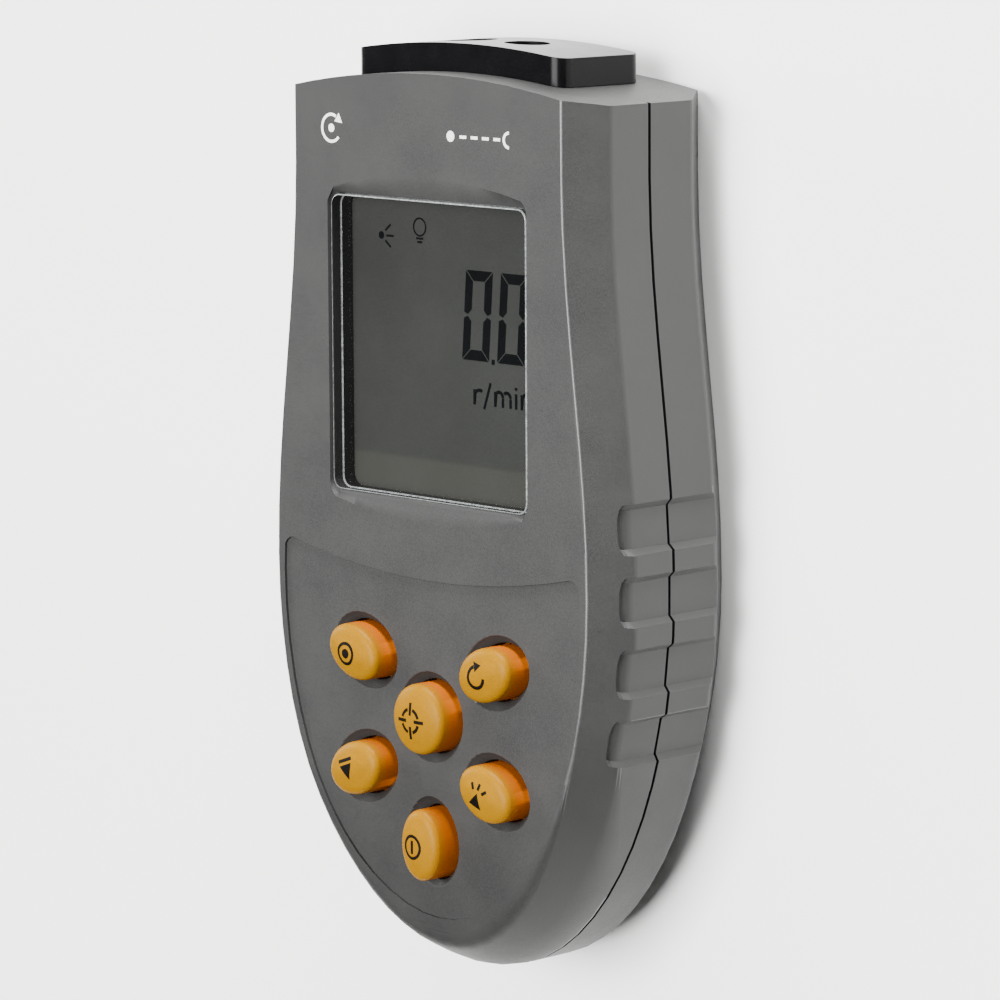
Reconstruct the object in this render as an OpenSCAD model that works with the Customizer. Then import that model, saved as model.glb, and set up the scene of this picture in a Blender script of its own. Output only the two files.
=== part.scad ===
// Handheld laser tachometer, lying on its back: +Z up out of the display,
// +Y towards the sensor head, origin under the middle of the whole length.

/* [Case] */
// Length of the two shells without the head cap
case_l = 127; // [124:0.5:132]
// Width across the widest section
case_w = 70; // [68:0.5:74]
// Thickness of the two shells together
case_t = 29; // [29:0.1:31]
// Width of the shells at the head end
neck_w = 60.8; // [58:0.2:64]
// Distance from the bottom end to the widest section
wide_at = 57; // [54:0.5:60]
// Distance from the bottom end to where the sides turn parallel
neck_at = 115; // [112:0.5:120]
// Rise of the arched head end across its width
arch_rise = 3.3; // [2.5:0.1:4]
// Rounding of the arched end at the back
arch_edge = 2.2; // [1:0.1:3]
// Wall thickness of both shells
wall = 2.2; // [1.8:0.1:2.4]
// Height of the parting line above the back
part_z = 16; // [15:0.1:16.5]
// Gap that shows between the shells at the parting line
part_gap = 0.5; // [0.3:0.1:0.8]

/* [Chamfers] */
// How far the front chamfer reaches in from the side
front_in = 3.9; // [3:0.1:5]
// How far the front chamfer reaches down the side
front_down = 5.6; // [5:0.1:6]
// The same two sizes at the bottom end, where the shell rounds off
low_in = 4.3; // [4:0.1:6]
// Reach down the side of the front chamfer at the bottom end
low_down = 10.2; // [9:0.1:11]
// How far the rear chamfer reaches in from the side
rear_in = 6.1; // [5:0.1:7]
// How far the rear chamfer reaches up the side
rear_up = 7.6; // [7:0.1:8]
// Rounding along the chamfer edges on the sides
crease_r = 0.5; // [0.3:0.1:0.8]
// Rounding of the front chamfer edges at the bottom end
low_r = 3.6; // [2:0.1:5]
// Distance from the bottom end to where the front starts to fall away
fall_at = 28; // [24:1:34]
// Radius of the front where it falls away
fall_r = 190; // [150:5:250]

/* [Grips] */
// Finger grooves on each side
groove_n = 4; // [3:1:4]
// Distance of the uppermost groove from the bottom end
groove_at = 66.8; // [64:0.2:68]
// Distance from groove to groove
groove_pitch = 9.95; // [9.5:0.05:10.2]
// Length of a groove along the case
groove_l = 7.1; // [6:0.1:8]
// Depth of a groove
groove_d = 0.9; // [0.5:0.1:1.1]
// Width of a groove's sloping border
groove_edge = 0.9; // [0.6:0.1:1.2]
// Distance of a groove's front end below the display side
groove_front = 3.6; // [2:0.1:4]
// Distance of a groove's rear end above the back
groove_rear = 6; // [5:0.1:6.3]

/* [Keypad] */
// Depth of the keypad field below the front
field_d = 0.4; // [0.2:0.1:0.5]
// Half width of the keypad field
field_w = 29.8; // [29:0.1:30.5]
// Distance from the bottom end to the lower end of the field
field_low = 8.2; // [8:0.1:10]
// Distance from the bottom end to the field's upper corners
field_top = 59.8; // [58:0.1:61]
// Sag of the field's upper edge
field_sag = 3.2; // [2:0.1:4]
// Half length of an oval key
key_a = 5.1; // [4.8:0.05:5.4]
// Half width of an oval key
key_b = 3.75; // [3.5:0.05:4]
// Radius of the round middle key
key_r = 5; // [4.8:0.05:5.2]
// Distance of the four outer keys from the middle line
key_x = 13.2; // [12.5:0.1:14]
// Distance of the upper outer keys from the bottom end
key_high_y = 45.1; // [44:0.1:46]
// Distance of the middle key from the bottom end
key_mid_y = 37.2; // [36:0.1:38]
// Distance of the lower outer keys from the bottom end
key_low_y = 28.4; // [27:0.1:29]
// Distance of the lowest key from the bottom end
key_end_y = 19.2; // [18.5:0.1:20]
// Tilt of the outer keys
key_tilt = 20; // [10:1:30]
// Height of a key over the keypad field
key_proud = 3.4; // [3:0.1:3.8]
// Travel of a key
key_travel = 1; // [0.6:0.1:1]
// Rounding of a key's top edge
key_round = 1.3; // [1:0.1:1.5]
// Width of the dished rim round a key
dish_w = 1.45; // [1.2:0.05:1.6]
// Depth of the dished rim
dish_d = 1.4; // [1:0.1:1.5]
// Gap between a key and its hole
key_gap = 0.35; // [0.25:0.05:0.4]

/* [Display] */
// Width of the display window
window_w = 39; // [37:0.2:40]
// Length of the display window
window_l = 41.8; // [40:0.2:43]
// Distance of the window's middle from the bottom end
window_at = 88.6; // [88:0.1:89]
// Corner radius of the window
window_r = 1.8; // [1:0.1:3]
// Depth of the window below the front
window_sink = 0.7; // [0.4:0.1:0.8]
// Width of the scoops above and below the window, at their middle
scoop_w = 3.1; // [2:0.1:3.5]
// Width of the scoops at the window's corners
scoop_end = 0.7; // [0.5:0.1:1]
// Gap round the window
window_gap = 0.15; // [0.1:0.05:0.2]
// Depth of the display glass below the front
lcd_sink = 4.3; // [4:0.1:4.4]
// Thickness of the display glass
lcd_t = 2; // [1.8:0.1:2.1]
// Distance by which the display glass passes the window on each side
lcd_over = 1.9; // [1.5:0.1:2]
// Pins along each edge of the display glass
lcd_pin_n = 14; // [8:1:16]
// Distance from pin to pin
lcd_pitch = 2.54; // [2.2:0.02:2.54]
// Thickness of a pin
pin_w = 0.5; // [0.4:0.05:0.6]

/* [Head] */
// Width of the head cap
head_w = 40.8; // [40:0.2:42]
// Depth of the head cap
head_d = 16.1; // [15.6:0.1:16.6]
// Height of the head cap over the shells
head_h = 4; // [3.5:0.1:4.5]
// Distance of the head cap's middle above the back
head_z = 15; // [14.8:0.1:15.2]
// Corner radius of the head cap
head_r = 2.2; // [1.5:0.1:3]
// Bevel round the top of the head cap
head_bevel = 0.6; // [0.3:0.1:0.8]
// Width of the neck that passes through the shells
throat_w = 36; // [34:0.2:37]
// Depth of the neck
throat_d = 11; // [10.6:0.1:11.4]
// Gap round the neck
throat_gap = 0.2; // [0.1:0.05:0.3]
// Distance of the laser from the middle line
laser_x = 6; // [5.8:0.1:6.4]
// Radius of the laser opening
laser_r = 3.2; // [3.2:0.05:3.3]
// Distance of the receiver from the middle line
eye_x = -5.7; // [-6:0.1:-5.3]
// Radius of the receiver opening
eye_r = 4.2; // [4.1:0.05:4.3]
// Radius of the laser barrel
barrel_r = 3; // [2.9:0.05:3.1]
// Length of the laser barrel
barrel_l = 14; // [12:0.5:15]

/* [Board] */
// Height of the main board above the back
board_z = 20.9; // [20.8:0.05:21]
// Thickness of the main board
board_t = 1.6; // [1.5:0.05:1.65]
// Thickness of the keypad mat
mat_t = 1.2; // [1:0.05:1.25]
// Distance of the upper case screws from the middle line
screw_high_x = 22; // [21.5:0.1:22.5]
// Distance of the upper case screws from the bottom end
screw_high_y = 115.6; // [115.2:0.1:116]
// Distance of the lower case screws from the middle line
screw_low_x = 23; // [22.5:0.1:23.5]
// Distance of the lower case screws from the bottom end
screw_low_y = 36.8; // [36:0.1:37.5]
// Radius of a case screw's shank
screw_r = 1.25; // [1.2:0.05:1.3]
// Radius of a case screw's head
screw_head_r = 2.3; // [2:0.05:2.35]
// Radius of a board screw's shank
small_r = 0.95; // [0.9:0.05:1]

/* [Battery] */
// Width of the battery
cell_w = 26.2; // [25.5:0.1:26.5]
// Length of the battery without its terminals
cell_l = 46.4; // [45:0.1:46.5]
// Thickness of the battery
cell_t = 17.2; // [16.5:0.1:17.2]
// Height of the battery's terminals
cell_cap = 2.1; // [1.8:0.1:2.2]
// Distance from the bottom end to the battery
cell_at = 14; // [13.8:0.1:14.5]
// Thickness of the battery cover
cover_t = 1.8; // [1.6:0.1:1.8]
// Half width of the battery cover
cover_w = 14.7; // [14.5:0.05:14.8]
// Reach of the cover's side tongues
tongue_w = 1.1; // [0.8:0.1:1.2]
// Running gap round the cover
cover_gap = 0.2; // [0.15:0.05:0.25]
// Radius of a lead
lead_r = 0.65; // [0.5:0.05:0.7]

/* [Hidden] */

// Overrun of every cut, and the gap between pieces that are only laid together
over = 1;
seat = 0.1;

// Whole length, and the bottom end that all distances along the case start from
total_l = case_l + head_h;
end_y = -total_l / 2;
peak_y = end_y + case_l;
half_w = case_w / 2;
half_neck = neck_w / 2;
arch_r = (half_neck * half_neck + arch_rise * arch_rise) / (2 * arch_rise);
blend_low = 7;
blend_high = 36.5;

// Outline points: steps along the round end, steps along each side
end_n = 16;
side_n = 10;
round_n = 3;
oval_n = 30;
dome_n = 4;
fine = 48;

function mix(a, b, t) = a + (b - a) * t;
function clamp(t) = max(0, min(1, t));
function smooth(t) = t * t * (3 - 2 * t);

// Share of the rounded end section at a distance up from the bottom end
function end_share(up) = smooth(clamp((blend_high - up) / (blend_high - blend_low)));

// How far the front has fallen away at a distance up from the bottom end
function fall(up) = pow(max(0, fall_at - up), 2) / (2 * fall_r);

// Half width of the shells above the widest section
function side_w(up) = let (t = clamp((up - wide_at) / (neck_at - wide_at)))
    half_neck + (half_w - half_neck) * (1 + cos(180 * t)) / 2;
function side_slope(up) = let (t = clamp((up - wide_at) / (neck_at - wide_at)))
    -(half_w - half_neck) * sin(180 * t) * PI / (2 * (neck_at - wide_at));

// One half of the outline, from the bottom end upwards: place and outward direction
function outline() = concat(
    [for (i = [0:end_n]) let (a = -90 + 90 * i / end_n,
        n = [cos(a) / half_w, sin(a) / wide_at])
        [half_w * cos(a), wide_at + wide_at * sin(a), n[0] / norm(n), n[1] / norm(n)]],
    [for (i = [1:side_n]) let (up = mix(wide_at, case_l + over, i / side_n),
        n = [1, -side_slope(up)])
        [side_w(up), up, n[0] / norm(n), n[1] / norm(n)]]);
half_outline = outline();
half_n = len(half_outline) - 1;

// Corner b between a and c, rounded over a length t on each leg
function rounded(a, b, c, t) = let (
    p = b + (a - b) * min(t, norm(a - b) * 0.9) / norm(a - b),
    q = b + (c - b) * min(t, norm(c - b) * 0.9) / norm(c - b))
    [for (i = [0:round_n]) let (s = i / round_n)
        p * (1 - s) * (1 - s) + b * 2 * s * (1 - s) + q * s * s];

// Section of the shells at a distance up from the bottom end: pairs of inset and height
function front_edge(up) = [mix(front_in, low_in, end_share(up)), case_t - fall(up)];
function front_crease(up) = [0, case_t - mix(front_down, low_down, end_share(up))];
function front_section(up) = let (e = front_edge(up), c = front_crease(up),
    r = mix(crease_r, low_r, end_share(up)))
    concat([[part_gap, part_z], [part_gap, part_z + part_gap / 4], [0, part_z + part_gap / 2]],
        rounded([0, part_z + part_gap / 2], c, e, r), rounded(c, e, e + [low_in, 0], r / 2));
function rear_section(up) = concat(
    rounded([2 * rear_in, 0], [rear_in, 0], [0, rear_up], crease_r),
    rounded([rear_in, 0], [0, rear_up], [0, part_z], crease_r),
    [[0, part_z - part_gap / 2], [part_gap, part_z - part_gap / 4], [part_gap, part_z]]);

// The same sections one wall further in, for the hollow
function front_hollow(up) = let (e = front_edge(up), c = front_crease(up),
    a = atan2(e[1] - c[1], e[0]),
    k = [wall, c[1] - wall * tan((90 - a) / 2)],
    f = [e[0] + wall * tan(a / 2), e[1] - wall])
    [[wall, part_z - over], k, f];
function rear_hollow(up) = let (a = atan2(rear_up, rear_in))
    [[rear_in + wall * tan(a / 2), wall],
        [wall, rear_up + wall * tan((90 - a) / 2)], [wall, part_z + over]];

// Ring of points of level j, all the way round: section is one list per outline point
function ring(sections, j) = let (right = [for (i = [0:half_n]) let (
    p = half_outline[i], s = sections[i][j])
    [max(0, p[0] - p[2] * s[0]), end_y + p[1] - p[3] * s[0], s[1]]])
    concat([[0, right[0][1], right[0][2]]], [for (i = [1:half_n]) right[i]],
        [for (i = [half_n:-1:1]) [-right[i][0], right[i][1], right[i][2]]]);

// Solid between rings of equal length that are mirrored about the middle line
module shell_loft(sections) {
    m = len(sections[0]);
    n = 2 * half_n + 1;
    sides = [for (j = [0:m - 2], i = [0:n - 1]) let (k = (i + 1) % n)
        each [[j * n + i, (j + 1) * n + i, (j + 1) * n + k],
            [j * n + i, (j + 1) * n + k, j * n + k]]];
    top = (m - 1) * n;
    caps = concat([[0, 1, n - 1], [top, top + n - 1, top + 1]],
        [for (k = [1:half_n - 1])
            each [[k, k + 1, n - k - 1, n - k],
                [top + k, top + n - k, top + n - k - 1, top + k + 1]]]);
    polyhedron([for (j = [0:m - 1]) each ring(sections, j)], concat(sides, caps), convexity = 8);
}

// Solid between rings of equal length, each a list of points, anticlockwise seen from the last
module loft(rings) {
    m = len(rings);
    n = len(rings[0]);
    polyhedron([for (r = rings) each r], concat(
        [for (j = [0:m - 2], i = [0:n - 1]) let (k = (i + 1) % n)
            each [[j * n + i, (j + 1) * n + i, (j + 1) * n + k],
                [j * n + i, (j + 1) * n + k, j * n + k]]],
        [[for (i = [0:n - 1]) i], [for (i = [n - 1:-1:0]) (m - 1) * n + i]]), convexity = 4);
}

function sections(kind) = [for (p = half_outline) let (up = p[1])
    kind == "front" ? front_section(up) : kind == "rear" ? rear_section(up)
    : kind == "front hollow" ? front_hollow(up) : rear_hollow(up)];

// Everything below the arched head end, rounded at the back
module arch_end() {
    translate([0, peak_y - arch_r, 0])
        rotate_extrude($fn = 4 * fine)
            polygon(concat([[0, -over], [0, case_t + over], [arch_r, case_t + over]],
                [for (i = [0:6]) let (a = 90 * i / 6)
                    [arch_r - arch_edge * (1 - cos(a)), arch_edge * (1 - sin(a))]],
                [[arch_r - arch_edge, -over]]));
}

// Everything below the arched head end, moved in by a distance
module under_arch(inset = 0) {
    translate([0, peak_y - arch_r, -over])
        cylinder(h = case_t + 2 * over, r = arch_r - inset, $fn = 4 * fine);
}

function rounded_box(w, l, r, n = 6) = [for (q = [0:3], i = [0:n]) let (
    a = 90 * q + 90 * i / n, sx = q == 0 || q == 3 ? 1 : -1, sy = q < 2 ? 1 : -1)
    [sx * (w / 2 - r) + r * cos(a), sy * (l / 2 - r) + r * sin(a)]];
function oval(a, b) = [for (i = [0:oval_n - 1]) [a * cos(360 * i / oval_n), b * sin(360 * i / oval_n)]];
function at_height(points, z) = [for (p = points) [p[0], p[1], z]];

// Keys: place, distance from the bottom end, tilt and half sizes
KEYS = [[-key_x, key_high_y, -key_tilt, key_a, key_b],
    [key_x, key_high_y, key_tilt, key_a, key_b],
    [0, key_mid_y, 0, key_r, key_r],
    [-key_x, key_low_y, key_tilt, key_a, key_b],
    [key_x, key_low_y, -key_tilt, key_a, key_b],
    [0, key_end_y, 90, key_a, key_b]];

// Heights of the stack under the keypad
board_top = board_z + board_t;
mat_top = board_top + mat_t;
pad_t = 0.05;
contact_gap = 0.05;
pill_t = 0.4;
pill_r = 1.8;
pill_z = board_top + pad_t + contact_gap + key_travel;
key_foot = pill_z + pill_t;
flange_w = 0.75;
flange_t = 0.5;
web_gap = 0.15;
web_w = 0.45;
web_t = 0.3;
collar_w = 1.1;
collar_z = key_foot + flange_t + 0.3;
front_in_z = case_t - wall;
function key_top(k) = case_t - fall(k[1]) - field_d + key_proud;
function widen(k, d) = oval(k[3] + d, k[4] + d);

module at_key(k) {
    translate([k[0], end_y + k[1], 0])
        rotate([0, 0, k[2]])
            children();
}

// Screws, with the posts and bosses that take them
case_screws_at = [for (s = [-1, 1]) each [[s * screw_high_x, screw_high_y], [s * screw_low_x, screw_low_y]]];
board_high_x = window_w / 2 + lcd_over + 2.7;
board_low_x = field_w - 2.6;
board_high_y = window_at + window_l / 2 - 1.5;
board_low_y = field_top - 3.6;
board_screws_at = [for (s = [-1, 1]) each [[s * board_high_x, board_high_y], [s * board_low_x, board_low_y]]];
post_r = screw_head_r + 1;
boss_r = screw_r + 1.65;
screw_play = 0.05;
screw_seat = 5;
head_play = 0.3;
screw_head_t = 1.7;
screw_l = 19;
small_head_r = 1.8;
small_head_t = 1.2;
small_boss_r = 2;
small_l = 4.6;

module at_each(places, z = 0) {
    for (p = places) {
        translate([p[0], end_y + p[1], z])
            children();
    }
}

// Head
throat_flange_w = 1.3;
throat_flange_t = 1.5;
lens_ledge = 0.7;
lens_sink = 1.2;
eye_lens_t = 1.2;
laser_hole_r = 2;
laser_lens_t = 1;
lens_gap = 0.1;

// A rounded bar along the case, seen from the head end, w by d about the head's middle
module head_bar(w, d, r, from, to) {
    translate([0, to, head_z])
        rotate([90, 0, 0])
            linear_extrude(to - from)
                polygon(rounded_box(w, d, r));
}

// Optics
holder_w = 22;
holder_l = 21;
holder_top = peak_y - wall - throat_gap - throat_flange_t - 0.3;
holder_z = 10.2;
barrel_gap = 0.05;
eye_tube_r = 3.3;
sensor_r = 2.4;
sensor_l = 4;
sensor_flange = 0.4;
notch_d = 6;
lead_pin_r = 0.25;

module along_y(x, y, z, h, r, r2 = -1) {
    translate([x, y, z])
        rotate([-90, 0, 0])
            cylinder(h = h, r1 = r, r2 = r2 < 0 ? r : r2, $fn = fine);
}

// Battery bay
cell_play = 0.35;
bay_wall = 1.2;
bay_roof = 0.8;
pad_t_foam = 0.5;
cover_out = 0.2;
cover_l = 61;
cover_low = 2;
cover_high = cover_low + cover_l + 2.5;
slot_z = cover_t + cover_gap;
cell_z = slot_z + seat;
snap_t = 3.4;
snap_gap = 0.2;
bay_low = cell_at - cell_play;
bay_high = cell_at + cell_l + cell_cap + snap_gap + snap_t - cell_cap + 2 * cell_play;
bay_w = cell_w + 2 * cell_play;
pad_z = cell_z + cell_t;
roof_z = pad_z + pad_t_foam;
tongue_low = 0.95;

// Place and outward direction of the outline at a distance up from the bottom end
function side_at(up) = let (q = (up - wide_at) / wide_at,
    x = up < wide_at ? half_w * sqrt(1 - q * q) : side_w(up),
    n = up < wide_at ? [x / (half_w * half_w), q / wide_at] : [1, -side_slope(up)])
    [x, atan2(n[1], n[0])];

// Plug of one groove, tapered along its borders and at its front end
module groove(up) {
    c = front_crease(up)[1];
    e = front_edge(up);
    lean = e[0] / (e[1] - c);
    top = case_t - groove_front;
    rim = groove_l / 2;
    low = rim - groove_edge;
    out = groove_d;
    slope = groove_edge / groove_d;
    // Rows from the rear end to the front end: height, depth under the surface, shares of the length
    rows = [[groove_rear, groove_d, 1, 1], [c - groove_d / 2, groove_d, 1, 1], [c + groove_d / 2, groove_d, 1, 1],
        [mix(c, top, 0.45), groove_d, 1, 1], [mix(c, top, 0.65), groove_d, 0.94, 0.97],
        [mix(c, top, 0.82), groove_d * 0.8, 0.76, 0.86], [mix(c, top, 0.95), groove_d * 0.3, 0.45, 0.66],
        [top, 0, 0.2, 0.45]];
    translate([side_at(up)[0], end_y + up, 0])
        rotate([0, 0, side_at(up)[1]]) {
            // The gap at the parting line goes on across the floor of the groove
            translate([0, 0, part_z - part_gap * 0.45])
                linear_extrude(part_gap * 0.9)
                    polygon([for (q = [[-1, -1], [1, -1], [1, 1], [-1, 1]]) let (
                        x = q[0] > 0 ? out : -groove_d - part_gap)
                        [x, q[1] * (low + slope * (x + groove_d + part_gap))]]);
            loft([for (r = rows) let (x = -max(0, (r[0] - c) * lean)) [
                [x - r[1], -low * r[2], r[0]], [x + out, -(rim + groove_edge) * r[3], r[0]],
                [x + out, (rim + groove_edge) * r[3], r[0]], [x - r[1], low * r[2], r[0]]]]);
        }
}

module grooves() {
    for (i = [0:groove_n - 1], s = [0, 1]) {
        mirror([s, 0, 0])
            groove(groove_at - i * groove_pitch);
    }
}

module field_outline() {
    corner = 1.9;
    steps = 14;
    low = field_low;
    rise = field_top - 2.5 * corner - low;
    right = concat([for (i = [0:steps]) let (a = -90 + 90 * i / steps)
        [field_w * cos(a), low + rise * (1 + sin(a))]],
        [for (i = [1:4]) let (a = 90 * i / 4)
            [field_w - corner * (1 - cos(a)), field_top - corner + corner * sin(a)]],
        [for (i = [1:5]) let (t = 1 - i / 6)
            [(field_w - corner) * t, field_top - field_sag * (1 - t * t)]]);
    polygon([for (p = concat(right, [[0, field_top - field_sag]],
        [for (i = [len(right) - 1:-1:1]) [-right[i][0], right[i][1]]])) [p[0], end_y + p[1]]]);
}

// Shallow recess round the window, with a scoop above and one below
module window_recess() {
    n = 8;
    w = window_w / 2 + window_gap;
    l = window_l / 2 + window_gap;
    function edge(b0, b1, side_over) = concat(
        [for (i = [0:n]) let (t = 1 - 2 * i / n) [(w + side_over) * t, l + mix(b0, b1, 1 - t * t)]],
        [for (i = [0:n]) let (t = -1 + 2 * i / n) [(w + side_over) * t, -l - mix(b0, b1, 1 - t * t)]]);
    translate([0, end_y + window_at, case_t])
        loft([at_height(edge(0.05, 0.1, 0.05), -window_sink),
            at_height(edge(scoop_end, scoop_w, 0.25), 0),
            at_height(edge(scoop_end, scoop_w, 0.25), over)]);
}

module front_case() {
    color("dimgray")
        difference() {
            union() {
                difference() {
                    intersection() {
                        shell_loft(sections("front"));
                        arch_end();
                    }
                    // Sunken field round the keys, at one depth below the front
                    difference() {
                        translate([0, 0, part_z + over])
                            linear_extrude(case_t)
                                field_outline();
                        translate([0, 0, -field_d])
                            shell_loft(sections("front"));
                    }
                    intersection() {
                        shell_loft(sections("front hollow"));
                        under_arch(wall);
                    }
                    grooves();
                }
                // Collars that guide the keys
                for (k = KEYS) {
                    at_key(k)
                        translate([0, 0, collar_z])
                            linear_extrude(front_in_z - collar_z + wall / 2 - fall(k[1]))
                                polygon(widen(k, key_gap + collar_w));
                }
                at_each(case_screws_at, part_z)
                    cylinder(h = front_in_z - part_z + wall / 2, r = boss_r, $fn = fine);
                at_each(board_screws_at, board_top)
                    cylinder(h = front_in_z - board_top + wall / 2, r = small_boss_r, $fn = fine);
            }
            for (k = KEYS) {
                at_key(k) {
                    translate([0, 0, part_z])
                        linear_extrude(case_t)
                            polygon(widen(k, key_gap));
                    rim = key_top(k) - key_proud;
                    loft([at_height(widen(k, key_gap - over / 10), rim - dish_d - over / 10),
                        at_height(widen(k, mix(key_gap, dish_w, 0.6)), rim - dish_d * 0.55),
                        at_height(widen(k, dish_w), rim - dish_d * 0.1),
                        at_height(widen(k, dish_w + 0.25), rim + over / 4)]);
                }
            }
            window_recess();
            translate([0, end_y + window_at, front_in_z - over])
                linear_extrude(wall + 2 * over)
                    polygon(rounded_box(window_w + 2 * window_gap, window_l + 2 * window_gap, window_r));
            head_bar(throat_w + 2 * throat_gap, throat_d + 2 * throat_gap, head_r / 2,
                peak_y - arch_rise - 2 * wall, peak_y + over);
            at_each(case_screws_at, part_z - over)
                cylinder(h = screw_l + screw_seat - part_z + 2 * over, r = screw_r + screw_play, $fn = fine);
            at_each(board_screws_at, board_top - over)
                cylinder(h = small_l - board_t + 2 * over, r = small_r + screw_play, $fn = fine);
        }
}

module bay_block(grow, low, high) {
    translate([-bay_w / 2 - grow, end_y + bay_low - grow, low])
        cube([bay_w + 2 * grow, bay_high - bay_low + 2 * grow, high - low]);
}

module rear_case() {
    color("dimgray")
        difference() {
            union() {
                difference() {
                    intersection() {
                        shell_loft(sections("rear"));
                        arch_end();
                    }
                    intersection() {
                        shell_loft(sections("rear hollow"));
                        under_arch(wall);
                    }
                    grooves();
                }
                // Rails of the battery cover, and the bay over it
                bay_block(bay_wall, wall / 2, roof_z + bay_roof);
                translate([-cover_w - tongue_w - bay_wall, end_y + bay_low - bay_wall, wall / 2])
                    cube([2 * (cover_w + tongue_w + bay_wall), cover_high - bay_low + 2 * bay_wall, wall]);
                at_each(case_screws_at, wall / 2)
                    cylinder(h = part_z - wall / 2, r = post_r, $fn = fine);
                // Ribs that carry the optics
                for (s = [-1, 1]) {
                    translate([s * (holder_w / 2 - 2 * bay_wall) - bay_wall / 2, holder_top - holder_l, wall / 2])
                        cube([bay_wall, holder_l - wall, holder_z - seat - wall / 2]);
                }
            }
            bay_block(0, -over, roof_z);
            // Notch for the leads at the head end of the bay
            translate([-lead_r * 8, end_y + bay_high - over, roof_z - notch_d])
                cube([lead_r * 16, bay_wall + 2 * over, notch_d + over + bay_roof]);
            // Slot of the battery cover, open at the bottom end
            translate([-cover_w - cover_gap, end_y - over, -over])
                cube([2 * (cover_w + cover_gap), cover_high + cover_gap + over, slot_z + over]);
            translate([-cover_w - tongue_w - cover_gap, end_y - over, tongue_low - cover_gap])
                cube([2 * (cover_w + tongue_w + cover_gap), cover_high + cover_gap + over,
                    slot_z - tongue_low + cover_gap]);
            head_bar(throat_w + 2 * throat_gap, throat_d + 2 * throat_gap, head_r / 2,
                peak_y - arch_rise - 2 * wall, peak_y + over);
            at_each(case_screws_at, -over) {
                cylinder(h = screw_seat + over, r = screw_head_r + head_play, $fn = fine);
                cylinder(h = part_z + 2 * over, r = screw_r + screw_play * 4, $fn = fine);
            }
        }
}

module head_cap() {
    color("black")
        difference() {
            union() {
                difference() {
                    intersection() {
                        head_bar(head_w, head_d, head_r, peak_y - arch_rise - over, peak_y + head_h + over);
                        translate([0, peak_y - arch_r, 0])
                            cylinder(h = case_t, r = arch_r + head_h, $fn = 4 * fine);
                    }
                    translate([0, peak_y - arch_r, -over])
                        cylinder(h = case_t + 2 * over, r = arch_r + seat / 2, $fn = 4 * fine);
                }
                intersection() {
                    head_bar(throat_w, throat_d, head_r / 2, holder_top + seat * 3, peak_y + head_h / 2);
                    under_arch(-head_h / 2);
                }
                difference() {
                    intersection() {
                        head_bar(throat_w + 2 * throat_flange_w, throat_d + 2 * throat_flange_w, head_r / 2,
                            peak_y - arch_rise - 3 * wall, peak_y);
                        under_arch(wall + throat_gap);
                    }
                    translate([0, 0, -over])
                        under_arch(wall + throat_gap + throat_flange_t);
                }
            }
            along_y(eye_x, holder_top - over, head_z, total_l, eye_r - lens_ledge);
            along_y(eye_x, peak_y + head_h - lens_sink - eye_lens_t - over, head_z, total_l, eye_r);
            along_y(laser_x, holder_top - over, head_z, total_l, laser_hole_r);
            along_y(laser_x, peak_y + head_h - lens_sink - laser_lens_t - over, head_z, total_l, laser_r);
        }
}

module lens(x, r, t, back) {
    translate([x, back, head_z])
        rotate([-90, 0, 0])
            rotate_extrude($fn = fine)
                polygon(concat([[0, 0], [r, 0], [r, t / 3]],
                    [for (i = [1:8]) [r * cos(90 * i / 8), t / 3 + t * 2 / 3 * sin(90 * i / 8)]]));
}

module receiver_lens() {
    color("lightblue", 0.6)
        lens(eye_x, eye_r - lens_gap, eye_lens_t, peak_y + head_h - lens_sink - eye_lens_t - over + seat);
}

module laser_lens() {
    color("mistyrose", 0.6)
        lens(laser_x, laser_r - lens_gap, laser_lens_t, peak_y + head_h - lens_sink - laser_lens_t - over + seat);
}

module display_window() {
    color("lightgray", 0.4)
        translate([0, end_y + window_at, front_in_z])
            linear_extrude(wall - window_sink)
                polygon(rounded_box(window_w, window_l, window_r - window_gap));
}

lcd_w = window_w + 2 * lcd_over;
lcd_l = window_l + 2 * lcd_over;
lcd_top = case_t - lcd_sink;
module lcd_frame() {
    color("black")
        translate([0, end_y + window_at, lcd_top])
            difference() {
                linear_extrude(front_in_z - lcd_top)
                    polygon(rounded_box(lcd_w, lcd_l, window_r));
                translate([0, 0, -over])
                    linear_extrude(front_in_z - lcd_top + 2 * over)
                        polygon(rounded_box(window_w - window_gap, window_l - window_gap, window_r));
            }
}

module lcd_panel() {
    color("darkolivegreen")
        translate([-lcd_w / 2, end_y + window_at - lcd_l / 2, lcd_top - lcd_t])
            cube([lcd_w, lcd_l, lcd_t]);
}

module lcd_pins() {
    color("silver")
        for (i = [0:lcd_pin_n - 1], s = [-1, 1]) {
            translate([(i - (lcd_pin_n - 1) / 2) * lcd_pitch - pin_w / 2,
                end_y + window_at + s * (lcd_l / 2 + pin_w / 2) - pin_w / 2, board_top])
                cube([pin_w, pin_w, lcd_top - lcd_t / 2 - board_top]);
        }
}

board_in = 3.9;
board_low_in = 7.3;
board_end = 118.3;
module main_board() {
    color("darkgreen")
        difference() {
            intersection() {
                shell_loft([for (p = half_outline) let (d = mix(board_in, board_low_in, end_share(p[1])))
                    [[d, board_z], [d, board_top]]]);
                translate([-case_w, end_y, board_z - over])
                    cube([2 * case_w, board_end, board_t + 2 * over]);
            }
            at_each(case_screws_at, board_z - over)
                cylinder(h = board_t + 2 * over, r = boss_r + 0.3, $fn = fine);
            at_each(board_screws_at, board_z - over)
                cylinder(h = board_t + 2 * over, r = small_r + 0.2, $fn = fine);
            at_each(holder_screws_at, board_z - over)
                cylinder(h = board_t + 2 * over, r = small_r + 0.2, $fn = fine);
        }
}

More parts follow.
